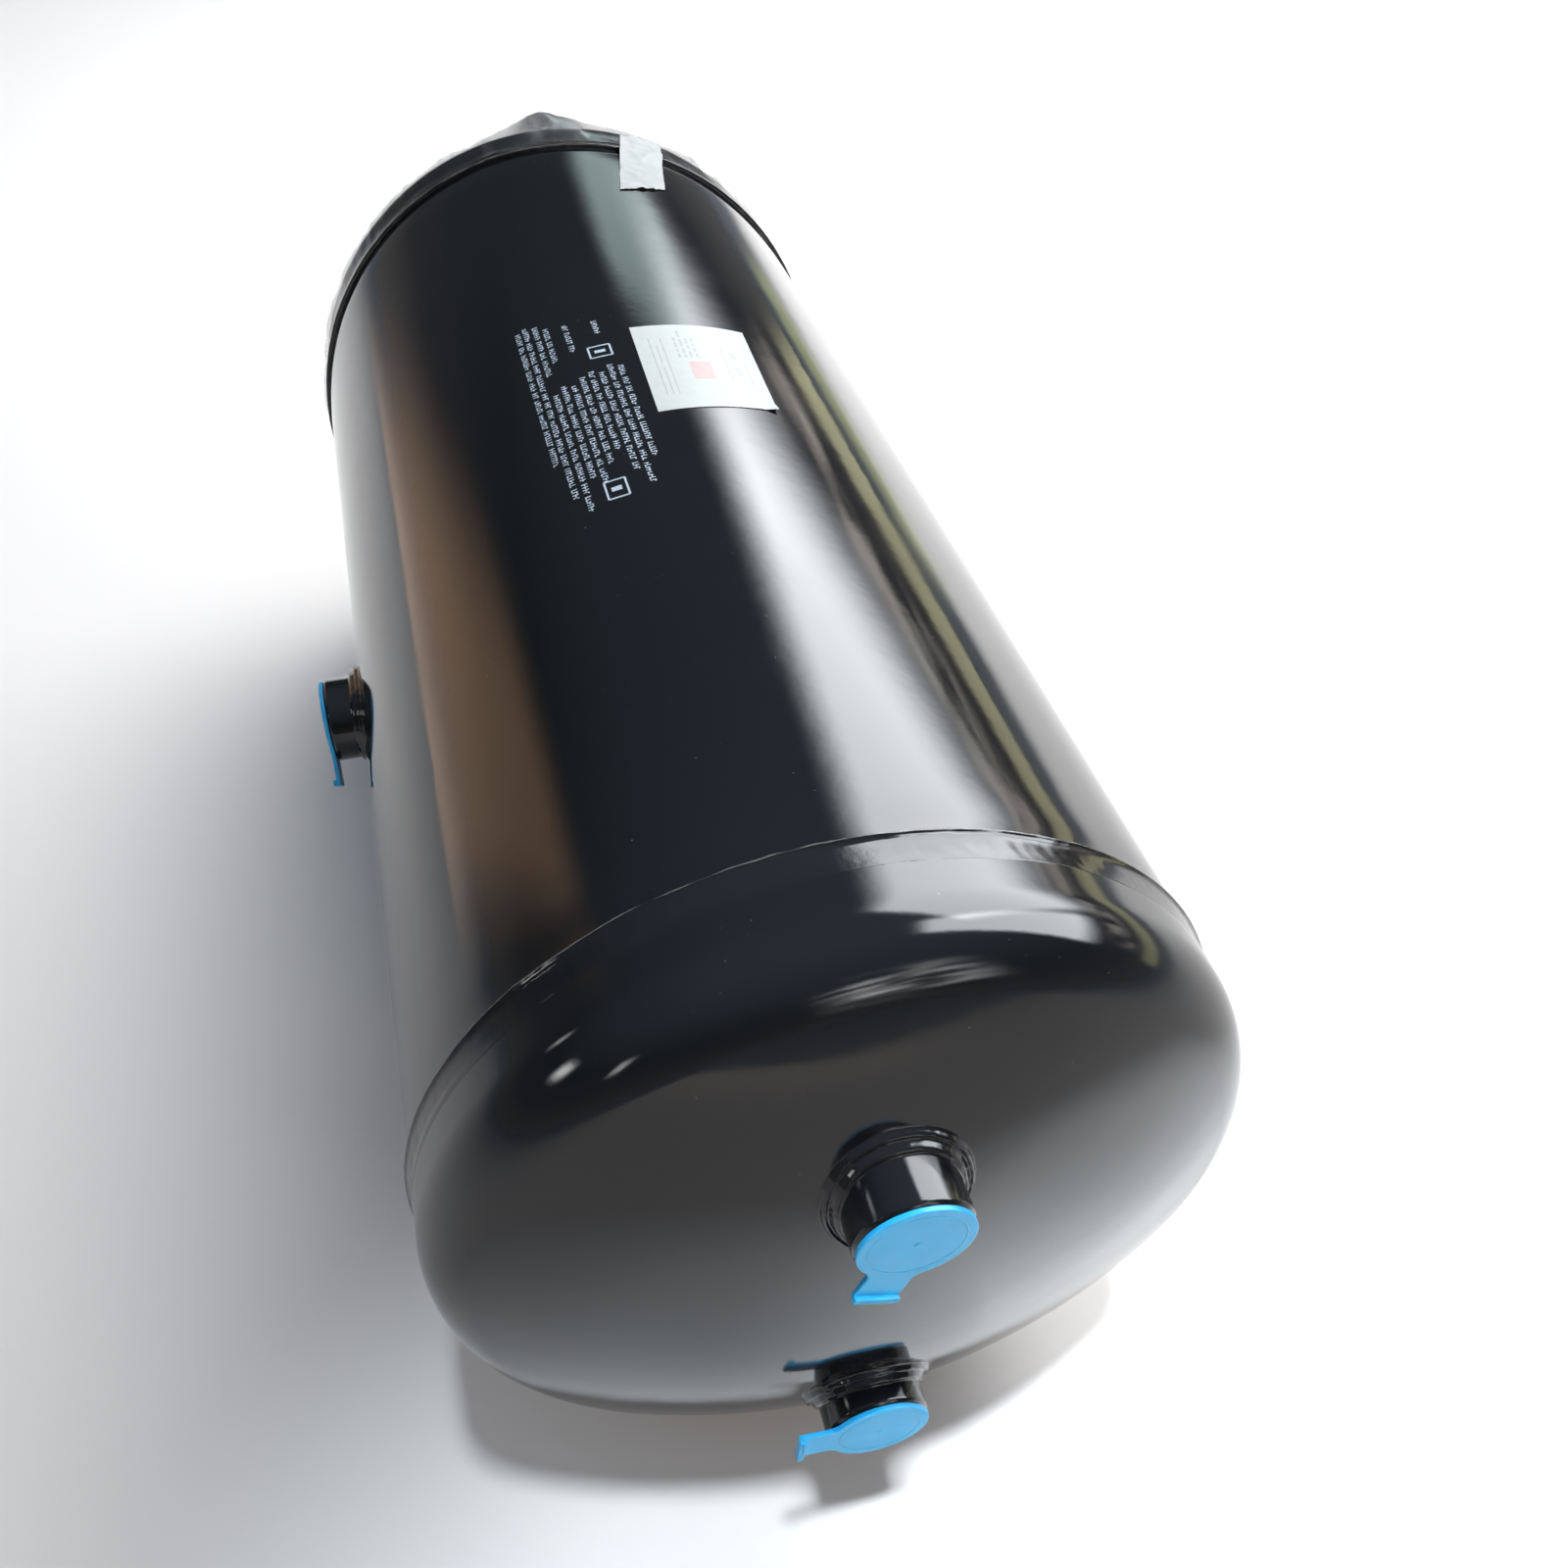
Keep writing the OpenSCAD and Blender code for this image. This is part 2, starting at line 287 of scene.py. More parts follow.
def cap_plastic():
    look = Look("blue_cap", (0.055, 0.44, 0.80), 0.3)
    look.color(look.ramp(look.grain(70, 3), [(0.3, (0.02, 0.37, 0.73)), (0.7, (0.028, 0.42, 0.79))]))
    look.set("Specular IOR Level", 0.4)
    look.set("Subsurface Weight", 0.25)
    look.set("Subsurface Radius", (0.0006, 0.0015, 0.002))
    look.set("Subsurface Scale", 1.0)
    look.rough(look.ranged(look.grain(120, 4), 0.3, 0.7, 0.28, 0.38))
    return look.material


def paper():
    look = Look("label_paper", (0.86, 0.9, 0.86), 0.35)
    look.color(look.ramp(look.grain(260, 5), [(0.3, (0.60, 0.64, 0.61)), (0.7, (0.64, 0.68, 0.65))]))
    look.set("Specular IOR Level", 0.15)
    look.rough(look.ranged(look.grain(500, 3), 0.3, 0.7, 0.28, 0.42))
    look.bump(look.grain(1400, 2), 0.08, 0.0003)
    return look.material


def tape():
    look = Look("white_tape", (0.8, 0.83, 0.8), 0.5)
    look.color(look.ramp(look.grain(150, 5), [(0.25, (0.38, 0.40, 0.39)), (0.75, (0.50, 0.52, 0.51))]))
    look.set("Alpha", 0.93)
    look.set("Specular IOR Level", 0.2)
    look.rough(look.ranged(look.grain(300, 3), 0.3, 0.7, 0.4, 0.65))
    look.bump(look.grain(180, 4), 0.25, 0.0006)
    return look.material


def ink(name, color):
    look = Look(name, color, 0.4)
    dark = tuple(0.8 * part for part in color)
    look.color(look.ramp(look.grain(600, 3), [(0.3, dark), (0.65, color)]))
    look.bump(look.grain(1500, 2), 0.05, 0.0002)
    return look.material


def film():
    look = Look("packing_film", (0.16, 0.16, 0.17), 0.2)
    streaks = look.grain(60, 6, (1, 0.35, 1))
    layers = look.values("layers")
    dense = look.ranged(layers, 0, 1, 0, 0.6)
    thin = look.ranged(streaks, 0.35, 0.75, 0.28, 0.42)
    look.join(look.combine("ADD", dense, thin), look.shader.inputs["Alpha"])
    pale = look.combine("ADD", streaks, look.ranged(layers, 0, 1, 0, 0.12))
    greys = [(0.35, (0.018, 0.018, 0.019)), (0.6, (0.035, 0.035, 0.037)), (0.8, (0.17, 0.173, 0.18))]
    look.color(look.ramp(pale, greys))
    look.rough(look.ranged(look.grain(90, 4), 0.3, 0.7, 0.1, 0.25))
    look.bump(look.grain(150, 3, (1, 0.4, 1)), 0.15, 0.0008)
    return look.material


def floor_look():
    look = Look("pale_floor", (0.87, 0.84, 0.80), 0.85)
    look.color(look.ramp(look.grain(3, 4), [(0.3, (0.865, 0.835, 0.795)), (0.7, (0.88, 0.85, 0.81))]))
    look.set("Specular IOR Level", 0.1)
    return look.material


PAINT = black_paint()
WELD = weld_paint()
CAP = cap_plastic()
PAPER = paper()
TAPE = tape()
PRINT = ink("print_white", (0.6, 0.7, 0.8))
GREY_INK = ink("label_grey", (0.5, 0.52, 0.52))
RED_INK = ink("label_red", (0.8, 0.42, 0.4))
FILM = film()


# Shell: a rolled tube, drawn in a little beside its girth welds
def shell_rows():
    """Places along the shell, closer beside the welds, with ends that run on under the beads."""
    end = HALF + ROOT - 0.1
    near = [end - 36 * (i / 14) ** 1.6 for i in range(15)]
    middle = [near[-1] * (1 - i / 20) for i in range(1, 21)]
    half = near + middle
    return [-y for y in half] + half[-2::-1]


def shell_skin():
    rows = shell_rows()
    steps = 360
    points = []
    for inner in (False, True):
        for y in reversed(rows) if inner else rows:
            for j in range(steps):
                turn = 2 * math.pi * j / steps
                s, c = math.sin(turn), math.cos(turn)
                r = RADIUS - 0.28 * bell(abs(y), HALF, 9)
                r += 0.05 * wave(1.6 * s, y * 0.011, 1.6 * c)
                r -= WALL if inner else 0
                points.append((r * s, y, r * c))
    faces = grid_faces(2 * len(rows), steps, True, True)
    add_piece("shell_skin", points, faces, PAINT, ["shell"])


# Heads: crown, knuckle and straight flange
def dish(inset):
    """Section of a head from its middle to the joint, moved inwards by the inset."""
    section = []
    for i in range(41):
        tilt = BLEND * i / 40
        section.append(((CROWN - inset) * math.sin(tilt), CROWN_Z + (CROWN - inset) * math.cos(tilt)))
    reach = KNUCKLE - inset
    for i in range(1, 31):
        bend = (math.pi / 2 - BLEND) * (1 - i / 30)
        section.append((RADIUS - KNUCKLE + reach * math.cos(bend), FLANGE + reach * math.sin(bend)))
    for i in range(1, 13):
        z = FLANGE + (ROOT - FLANGE) * i / 12
        section.append((RADIUS - inset, z))
    return section


def head_skin(name, place, node, seed):
    points, faces = lathe(dish(0) + list(reversed(dish(WALL))), place, 288)
    pressed = []
    for x, y, z in points:
        push = 0.05 * wave(x * 0.018, z * 0.018, seed)
        pressed.append((x, y + push, z))
    add_piece(name, pressed, faces, PAINT, [node])


# Girth welds: a narrow ridge over the joint, a low smooth band on the head and a flat tie-in at the bottom
BEAD_MIDDLE = 5.7
BEAD_PITCH = 4.4

# Section of a girth bead, as (share of its half width, height)
BEAD = (
    (-1.0, -0.7), (-0.99, 0.3), (-0.965, 0.9), (-0.93, 1.28), (-0.885, 1.42), (-0.83, 1.3),
    (-0.76, 1.02), (-0.66, 0.78), (-0.5, 0.6), (-0.25, 0.45), (0.0, 0.32), (0.2, 0.22),
    (0.4, 0.13), (0.55, 0.08), (0.7, 0.04), (0.85, 0.01), (1.0, -0.02), (1.05, -0.4),
)


def girth_bead(name, place, node, seed):
    steps = 1200
    points = []
    painted_glint = []
    for v, height in BEAD:
        body = max(0.0, 1 - v * v) ** 1.5 if v > 0 else 1 - v**4
        for j in range(steps):
            turn = 2 * math.pi * j / steps
            c, s = math.cos(turn), math.sin(turn)
            half = 5.0 + 0.5 * wave(5 * c, 5 * s, seed) + 0.22 * wave(24 * c, 24 * s, seed + 4)
            shift = 0.5 * wave(3 * c, 3 * s, seed + 2)
            patchy = smooth(-0.1, 0.35, wave(2.6 * c, 2.6 * s, seed + 7))
            phase = turn * RADIUS / BEAD_PITCH + 1.1 * v * v + 0.8 * wave(9 * c, 9 * s, seed + 5)
            ripple = (0.006 + 0.014 * patchy) * math.sin(2 * math.pi * phase)
            lump = (0.05 + 0.13 * patchy) * wave(20 * c, 20 * s, 1.1 * v + seed)
            lip = 0.16 * smooth(0.0, 0.3, wave(1.2 * c, 1.2 * s, seed + 9)) * bell(v, 0.62, 0.12)
            resting = smooth(13.5, 11.5, abs(RADIUS * c)) if s < 0 else 0.0
            resting *= smooth(-1, -0.7, v) * smooth(-0.3, -0.55, v)
            rise = height + lip + body * (ripple + lump + 2.2 * resting)
            r = RADIUS + rise
            # The tie-in is flat where it meets the floor
            if s < 0:
                r = min(r, FLOOR_Z / s)
            points.append(place(r * c, r * s, BEAD_MIDDLE + shift + half * v))
            # Painted highlight: a narrow band on the crest, broken into patches, that the weld paint turns
            # lighter tan for the ridge's glint
            painted_glint.append(bell(v, -0.9, 0.035) * smooth(-0.9, 0.1, wave(14 * c, 14 * s, seed + 3)))
    faces = grid_faces(len(BEAD), steps, True)
    piece = add_piece(name, points, faces, WELD, [node], sharp=75)
    add_values(piece, "painted_glint", painted_glint)


def seam_bead():
    along = 420
    across = 11
    reach = HALF + 0.5
    angle = math.radians(150)
    points = []
    for j in range(across):
        v = -1 + 2 * j / (across - 1)
        for i in range(along):
            y = -reach + 2 * reach * i / (along - 1)
            half = 3.5 + 0.35 * wave(y * 0.06, 1, 3)
            ripple = 0.08 * math.sin(2 * math.pi * (y / 2.8 + 0.9 * v * v)) * (1 - v**4)
            rise = 0.95 * (1 - abs(v) ** 2.4) + ripple - (0.4 if j in (0, across - 1) else 0)
            turn = angle + (half * v + 0.3 * wave(y * 0.03, 5, 5)) / RADIUS
            points.append(((RADIUS + rise) * math.sin(turn), y, (RADIUS + rise) * math.cos(turn)))
    faces = grid_faces(across, along)
    add_piece("seam_bead", points, faces, WELD, ["shell_seam_weld"], sharp=60)


# Port welds: two passes that climb each boss, with a groove between them and at the top
def dome(x, y):
    return CROWN_Z + math.sqrt(CROWN**2 - x * x - y * y)


def barrel(x, y):
    return math.sqrt(RADIUS * RADIUS - x * x)


def boss_bead(name, place, node, surface, offset, seed):
    steps = 260
    across = 28
    middle_r = 19
    pitch = 4.6
    points = []
    for i in range(across + 1):
        s = i / across
        for j in range(steps):
            turn = 2 * math.pi * j / steps
            c, t = math.cos(turn), math.sin(turn)
            foot = 5.2 + 0.45 * wave(1.6 * c, 1.6 * t, seed) + 0.15 * wave(7 * c, 7 * t, seed + 3)
            tall = 4.1 + 0.4 * wave(1.8 * c, 1.8 * t, seed + 6)
            passes = math.sin(2 * math.pi * (s - 0.2 + 0.05 * wave(2 * c, 2 * t, seed + 1)) / 0.45)
            phase = turn * middle_r / pitch + 1.4 * (s - 0.5) ** 2 + 0.9 * wave(4 * c, 4 * t, seed + 8)
            ripple = 0.05 * math.sin(2 * math.pi * phase) + 0.12 * wave(9 * c, 9 * t, 3 * s + seed)
            rise = tall * s**1.1 + (0.6 * passes + ripple) * math.sin(math.pi * s) ** 0.6
            if i == 0:
                rise = -0.8
            reach = BOSS_R - 0.05 + foot * (1 - s)
            x, y = reach * c, reach * t + offset
            points.append(place(x, y, surface(x, y) + rise))
    faces = grid_faces(across + 1, steps, True)
    add_piece(name, points, faces, WELD, [node], sharp=60)


# Bosses: turned, with soft edges and a countersunk bore
def boss_body(name, place, node, offset, face):
    section = [
        (BORE_R, -BOSS_L), (15.6, -BOSS_L), (BOSS_R, -BOSS_L + 0.4), (BOSS_R, -1.5), (15.96, -1.2),
        (15.8, -0.9), (15.15, -0.2), (14.95, -0.05), (14.7, 0.0), (11.8, 0.0), (11.55, -0.05),
        (11.35, -0.2), (10.35, -1.2), (10.22, -1.4), (BORE_R, -1.7),
    ]

    def at(x, y, z):
        return place(x, y + offset, z + face)

    points, faces = lathe(section, at, 128, True)
    add_piece(name, points, faces, PAINT, [node], sharp=30)


# Caps: a thin disc with a ring, a pull tab with a grip rib, and a hollow plug
TAB_HALF = 6.5
TAB_REACH = 26.0


def cap_outline():
    half = TAB_HALF
    reach = TAB_REACH
    fillet = 4.0
    corner = 0.9
    blend_y = half + fillet
    blend_x = math.sqrt((CAP_R + fillet) ** 2 - blend_y**2)
    meet = math.atan2(blend_y, blend_x)
    upper = []
    for i in range(13):
        turn = math.pi / 2 * i / 12
        upper.append((reach - corner + corner * math.cos(turn), half - corner + corner * math.sin(turn)))
    for i in range(13):
        turn = -math.pi / 2 - (math.pi / 2 - meet) * i / 12
        upper.append((blend_x + fillet * math.cos(turn), blend_y + fillet * math.sin(turn)))
    for i in range(1, 61):
        turn = meet + (math.pi - meet) * i / 60
        upper.append((CAP_R * math.cos(turn), CAP_R * math.sin(turn)))
    return upper + [(x, -y) for x, y in reversed(upper[:-1])]


def inside(outline, depth):
    """The outline moved inwards."""
    moved = []
    count = len(outline)
    for i, (x, y) in enumerate(outline):
        ax, ay = outline[i - 1]
        bx, by = outline[(i + 1) % count]
        length = math.hypot(bx - ax, by - ay)
        moved.append((x - depth * (by - ay) / length, y + depth * (bx - ax) / length))
    return moved


def slab(outline, low, high, edge):
    """A closed slab of that outline with rounded edges."""
    turns = [math.pi / 2 * i / 4 for i in range(5)]
    levels = [(edge * 2.2, low)]
    levels += [(edge * (1 - math.sin(t)), low + edge * (1 - math.cos(t))) for t in turns]
    levels += [(edge * (1 - math.cos(t)), high - edge * (1 - math.sin(t))) for t in turns]
    levels += [(edge * 2.2, high)]
    points = []
    for depth, z in levels:
        points.extend((x, y, z) for x, y in inside(outline, depth))
    count = len(outline)
    faces = grid_faces(len(levels), count, True)
    faces.append(tuple(reversed(range(count))))
    faces.append(tuple(range((len(levels) - 1) * count, len(levels) * count)))
    return points, faces


def box_outline(x0, x1, half, corner):
    outline = []
    for cx, cy, base in (
        (x1 - corner, half - corner, 0), (x0 + corner, half - corner, 90),
        (x0 + corner, corner - half, 180), (x1 - corner, corner - half, 270),
    ):
        for i in range(6):
            turn = math.radians(base + 18 * i)
            outline.append((cx + corner * math.cos(turn), cy + corner * math.sin(turn)))
    return outline


def cap_body(name, place, node, offset, face, turn):
    ring = [(12.3, 1.5), (12.45, 1.66), (12.75, 1.74), (13.05, 1.66), (13.2, 1.5)]
    gate = [(1.0, 1.5), (0.95, 1.75), (0.7, 1.88), (0.0, 1.9)]
    plug = [(8.6, 0.2), (8.6, -9.6), (8.8, -10.0), (9.5, -10.0), (9.9, -9.5), (10.0, -8.5), (10.0, 0.2)]
    points, faces = joined(
        slab(cap_outline(), 0.0, 1.6, 0.32),
        slab(box_outline(TAB_REACH - 2.3, TAB_REACH, TAB_HALF, 0.5), 1.3, 2.9, 0.35),
        lathe(ring, plain, 96),
        lathe(gate, plain, 24),
        lathe(plug, plain, 64, True),
    )
    c, s = math.cos(math.radians(turn)), math.sin(math.radians(turn))
    placed = [place(c * x - s * y, s * x + c * y + offset, z + face) for x, y, z in points]
    add_piece(name, placed, faces, CAP, [node], sharp=32)


# Sheets stuck to the shell, as patches between four corners of (arc, y)
def patch(corners, u, v):
    (a, b), (c, d) = corners
    arc = (1 - v) * ((1 - u) * a[0] + u * b[0]) + v * ((1 - u) * c[0] + u * d[0])
    y = (1 - v) * ((1 - u) * a[1] + u * b[1]) + v * ((1 - u) * c[1] + u * d[1])
    return arc, y


LABEL = (((-2.0, -15.6), (41.6, -13.2)), ((-0.2, 46.2), (44.0, 47.8)))
STRIP = (((21.0, 175.6), (42.9, 184.0)), ((32.0, 237.0), (53.6, 246.0)))
LABEL_WIDTH = 44
LABEL_LENGTH = 62


def label_lift(u, v):
    corner = smooth(0.88, 1.0, u) * smooth(0.9, 1.0, 1 - v)
    return 0.24 + 0.9 * corner + 0.06 * wave(4 * u, 5 * v, 2)


def sheet_faces(rows, columns):
    """Both sides and the rim of a thin sheet whose two sides follow each other in the list."""
    count = rows * columns
    top = grid_faces(rows, columns)
    under = [tuple(count + i for i in reversed(face)) for face in top]
    rim = [i * columns for i in range(rows)]
    rim += [(rows - 1) * columns + j for j in range(1, columns)]
    rim += [i * columns + columns - 1 for i in range(rows - 2, -1, -1)]
    rim += list(range(columns - 2, 0, -1))
    band = [(a, b, count + b, count + a) for a, b in zip(rim, rim[1:] + rim[:1])]
    return top + under + band


def label_sheet():
    rows = 42
    columns = 36
    points = []
    for thick in (0.0, -0.12):
        for i in range(rows):
            for j in range(columns):
                u, v = j / (columns - 1), i / (rows - 1)
                points.append(on_shell(*patch(LABEL, u, v), label_lift(u, v) + thick))
    faces = sheet_faces(rows, columns)
    piece = add_piece("label_sheet", points, faces, PAPER, ["label"], sharp=60)


def bars(name, boxes, place, material):
    """Flat printed bars, each given as (u0, u1, v0, v1)."""
    points = []
    faces = []
    for u0, u1, v0, v1 in boxes:
        cuts = max(1, int(abs(u1 - u0) / 3))
        start = len(points)
        for i in range(cuts + 1):
            u = u0 + (u1 - u0) * i / cuts
            points.append(place(u, v0))
            points.append(place(u, v1))
        for k in range(start, start + 2 * cuts, 2):
            faces.append((k, k + 2, k + 3, k + 1))
    return add_piece(name, points, faces, material, outward=False)


def label_print():
    def at(a, b):
        u, v = a / LABEL_WIDTH, b / LABEL_LENGTH
        return on_shell(*patch(LABEL, u, v), label_lift(u, v) + 0.03)

    rng = random.Random(4)
    grey = [(5.0 + 2.2 * i, 5.5 + 2.2 * i, 10, 52 - 6 * (i % 2)) for i in range(3)]
    for row in range(4):
        v = 36.0
        while v < 52:
            length = rng.uniform(2, 6)
            grey.append((14 + 2.2 * row, 15.1 + 2.2 * row, v, v + length))
            v += length + 1.4
    grey += [(31, 31.6, 18, 46), (34, 36.4, 24, 30), (34, 36.4, 36, 42), (38.4, 39, 16, 34)]
    bars("label_lines", grey, at, GREY_INK)
    red = [(a, a + 1, b, b + 1) for a in range(17, 25) for b in range(20, 33)]
    bars("label_block", red, at, RED_INK)


def data_print():
    def at(arc, y):
        return on_shell(arc, y, 0.07)

    rng = random.Random(11)
    line = 0.35
    boxes = []
    rows = [
        (-40.5, 64, -20), (-37.3, 66, -52), (-33.6, 64, 30), (-33.6, 12, -64), (-30.0, 60, 40),
        (-30.0, 16, -38), (-26.4, 14, -44), (-22.8, 58, 36), (-22.8, 18, -40), (-19.2, 20, -30),
        (-15.6, 18, -46), (-12.0, 56, 46), (-12.0, 22, -50), (-8.4, 20, -34),
    ]
    for arc, high, low in rows:
        y = high
        while y > low:
            for _ in range(rng.randint(3, 8)):
                stroke = rng.uniform(0.34, 0.5)
                wide = rng.uniform(0.5, 0.85)
                top = rng.choice((1.05, 1.05, 0.55))
                boxes.append((arc - 1.05, arc + top, y - stroke, y))
                foot = rng.choice((-1.05, -0.2, 0.5))
                boxes.append((arc + foot, arc + foot + 0.45, y - stroke - wide, y - stroke))
                y -= stroke + wide + 0.38
            y -= 1.4
    for arc, y, wide, tall in ((-13.5, 33.0, 8.0, 8.0), (-24.0, -55.0, 7.0, 10.0)):
        for sign in (-1, 1):
            across = arc + sign * wide / 2
            along = y + sign * tall / 2
            boxes.append((arc - wide / 2, arc + wide / 2, along - line, along + line))
            boxes.append((across - line, across + line, y - tall / 2, y + tall / 2))
        boxes.append((arc - 0.25 * wide, arc + 0.25 * wide, y - 0.12 * tall, y + 0.12 * tall))
    bars("data_print", boxes, at, PRINT)


# Film: stretched over the rear head and its capped ports, with one slack fold at the top
def film_hull():
    """The taut form that the film is laid on."""
    work = bmesh.new()
    out = 0.7
    over_bead = 1.3

    def put(x, y, z):
        work.verts.new((x, y, z))

    for j in range(120):
        turn = 2 * math.pi * j / 120
        c, s = math.cos(turn), math.sin(turn)
        put((RADIUS + over_bead) * c, (RADIUS + over_bead) * s, 2.0)
        for i in range(8):
            bend = (math.pi / 2 - BLEND) * i / 7
            r = RADIUS - KNUCKLE + (KNUCKLE + out) * math.cos(bend)
            put(r * c, r * s, FLANGE + (KNUCKLE + out) * math.sin(bend))
        for i in range(10):
            r = (RADIUS - KNUCKLE) * (i + 1) / 10
            put(r * c, r * s, dome(r, 0) + out)
        for top in (-1, 1):
            put((CAP_R + out) * c, (CAP_R + out) * s + top * PORT, PORT_FACE + 2.4)
    # The slack fold
    put(-3, RADIUS + 3.6, 31)
    put(0, RADIUS + 4.2, 29)
    put(3, RADIUS + 3.6, 31)
    put(0, RADIUS + 0.8, 43)
    bmesh.ops.convex_hull(work, input=work.verts)
    tree = BVHTree.FromBMesh(work)
    work.free()
    return tree


def film_points():
    tree = film_hull()
    heart = Vector((0, 0, 22))
    columns = 540
    rows = 110
    grid = []
    layers = []
    for i in range(rows):
        t = i / (rows - 1)
        line = []
        for j in range(columns):
            turn = 2 * math.pi * j / columns
            c, s = math.cos(turn), math.sin(turn)
            edge = 4.2 + 1.3 * wave(3 * c, 3 * s, 7) + 0.7 * wave(11 * c, 11 * s, 8)
            # The hem keeps clear of the flat tie-in under the weld
            if s < 0:
                edge += 1.6 * smooth(20, 13, abs(RADIUS * c))
            low = math.pi / 2 + math.atan2(heart.z - edge, RADIUS)
            tilt = low * (1 - t) ** 0.8
            ray = Vector((math.sin(tilt) * c, math.sin(tilt) * s, math.cos(tilt)))
            hit = tree.ray_cast(heart, ray)[0]
            away = (hit - heart).length
            r = math.hypot(hit.x, hit.y)
            # Straight folds fan out from the middle over the knuckle and flatten at the hem
            shoulder = smooth(2, 14, hit.z) * smooth(0.06, 0.3, r / RADIUS)
            fan = crease(7 * c, 7 * s, 0.5 * t) + 0.4 * crease(17 * c + 3, 17 * s, 0.9 * t)
            cross = crease(hit.x * 0.03, hit.y * 0.03, 4 + 0.5 * t)
            rise = shoulder * (0.8 * fan + 0.7 * cross) + 0.12 * crease(12 * c, 12 * s, 3)
            hem = smooth(0.03, 0.0, t)
            rise += hem * (0.2 + 0.3 * wave(9 * c, 9 * s, 1.5))
            spot = heart + ray * (away + max(rise, 0.0))
            # No fold reaches down to the floor
            spot.y = max(spot.y, FLOOR_Z + 0.1)
            line.append(spot)
            slack = smooth(0.6, 3.2, r - RADIUS) * smooth(50, 34, hit.z)
            layers.append(min(1.0, max(slack, 0.8 * hem)))
        grid.append(line)
    return grid, layers, columns, rows


def film_sheet():
    grid, layers, columns, rows = film_points()
    points = [rear(*p) for line in grid for p in line]
    faces = grid_faces(rows, columns, True)
    piece = add_piece("film_sheet", points, faces, FILM, ["end_film"], sharp=50)
    add_values(piece, "layers", layers)
    work = bmesh.new()
    work.from_mesh(piece.data)
    tree = BVHTree.FromBMesh(work)
    work.free()
    return tree


def film_tape(tree):
    rows = 60
    columns = 24
    top = []
    for i in range(rows):
        for j in range(columns):
            u, v = j / (columns - 1), i / (rows - 1)
            arc, y = patch(STRIP, u, v)
            if i == 0:
                y += 0.9 * wave(6 * u, 3, 4) + 0.6 * wave(22 * u, 1, 4)
            if j in (0, columns - 1):
                arc += 0.25 * wave(9 * v, j, 2)
            turn = arc / RADIUS
            out = Vector((math.sin(turn), 0, math.cos(turn)))
            height = RADIUS + 2.2 * bell(y, 225, 7.5)
            hit = tree.ray_cast(Vector((0, y * MM, 0)) + out * 0.16, -out)[0]
            if hit is not None:
                height = max(height, math.hypot(hit.x, hit.z) / MM)
            top.append([out, y, height, arc])
    # Smooth each run along the tape, which sinks by 0.15 mm a pass at most
    for _ in range(3):
        for j in range(columns):
            for i in range(1, rows - 1):
                k = i * columns + j
                mean = 0.5 * (top[k - columns][2] + top[k + columns][2])
                top[k][2] = max(top[k][2] - 0.15, mean)
    points = []
    for thick in (0.0, -0.15):
        for out, y, height, arc in top:
            fold = 0.5 * crease(arc * 0.11, y * 0.06, 3) + 0.25 * crease(arc * 0.3, y * 0.12, 8)
            radius = height + 0.45 + fold + thick
            points.append((out.x * radius, y, out.z * radius))
    faces = sheet_faces(rows, columns)
    piece = add_piece("tape_strip", points, faces, TAPE, ["film_tape"], sharp=60)


shell_skin()
head_skin("front_head_skin", front, "front_head", 1.5)
head_skin("rear_head_skin", rear, "rear_head", 6.5)
girth_bead("front_girth_bead", front, "front_girth_weld", 2.0)
girth_bead("rear_girth_bead", rear, "rear_girth_weld", 31.0)
seam_bead()
for end, place in (("front", front), ("rear", rear)):
    for level, sign in (("upper", 1), ("lower", -1)):
        key = f"{level}_{end}"
        seed = 3.3 + 11 * sign + (40 if end == "rear" else 0)
        boss_body(f"{key}_boss_body", place, f"{key}_boss", sign * PORT, PORT_FACE)
        boss_bead(f"{key}_boss_bead", place, f"{key}_boss_weld", dome, sign * PORT, seed)
        cap_body(f"{key}_cap_body", place, f"{key}_cap", sign * PORT, PORT_FACE, TAB_TURNS[key])
boss_body("side_boss_body", side, "side_boss", 0.0, SIDE_FACE)
boss_bead("side_boss_bead", side, "side_boss_weld", barrel, 0.0, 70.0)
cap_body("side_cap_body", side, "side_cap", 0.0, SIDE_FACE, TAB_TURNS["side"])
label_sheet()
label_print()
data_print()
film_tape(film_sheet())


# Floor, light and camera
def add_floor():
    mesh = bpy.data.meshes.new("floor")
    z = FLOOR_Z * MM
    mesh.from_pydata([(-9, -9, z), (9, -9, z), (9, 9, z), (-9, 9, z)], [], [(0, 1, 2, 3)])
    mesh.materials.append(floor_look())
    floor = bpy.data.objects.new("floor", mesh)
    bpy.context.collection.objects.link(floor)


